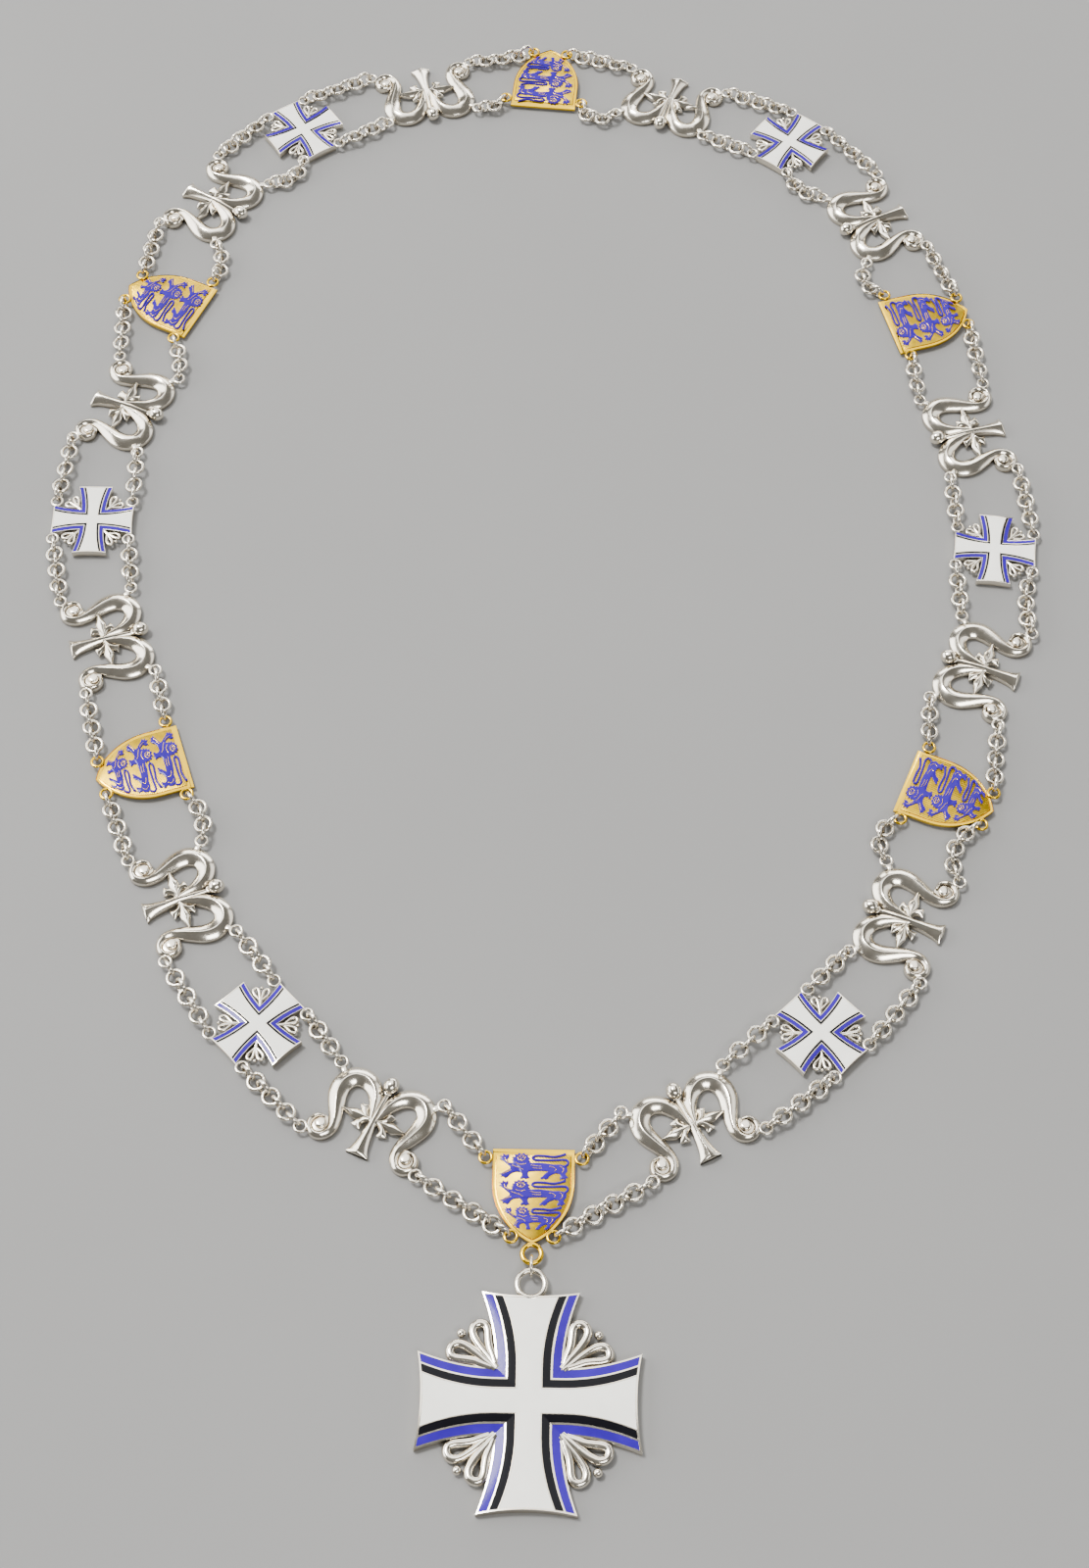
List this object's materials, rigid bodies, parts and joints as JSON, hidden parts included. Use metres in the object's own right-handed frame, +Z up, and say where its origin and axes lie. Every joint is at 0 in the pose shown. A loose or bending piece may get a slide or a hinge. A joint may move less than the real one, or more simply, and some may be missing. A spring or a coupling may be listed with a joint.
{
  "type": "order collar",
  "caption": "Ceremonial neck collar of openwork silver, gilt shield and enamelled cross plaques joined by paired chains, with a large cross pendant.",
  "frame": {"origin": "on the surface that the collar lies on, under the middle of its box", "axes": "+Z up off the surface, +Y from the pendant towards the back of the collar, +X to the right as seen from above with the pendant towards the viewer"},
  "size_m": [0.3162, 0.5228, 0.0064],
  "materials": {
    "silver": "polished silver, slightly worn",
    "gilt": "polished gilt with blue enamel lions",
    "enamel": "white, blue and black vitreous enamel on silver"
  },
  "bodies": {
    "root": {"scroll_1": "silver", "scroll_2": "silver", "scroll_3": "silver", "scroll_4": "silver", "scroll_5": "silver", "scroll_6": "silver", "scroll_7": "silver", "scroll_8": "silver", "scroll_9": "silver", "scroll_10": "silver", "scroll_11": "silver", "scroll_12": "silver", "shield_1": "gilt", "shield_2": "gilt", "shield_3": "gilt", "shield_4": "gilt", "shield_5": "gilt", "shield_6": "gilt", "cross_1": "enamel", "cross_2": "enamel", "cross_3": "enamel", "cross_4": "enamel", "cross_5": "enamel", "cross_6": "enamel", "jump_ring": "silver", "pendant_cross": "enamel"}
  },
  "joints": []
}
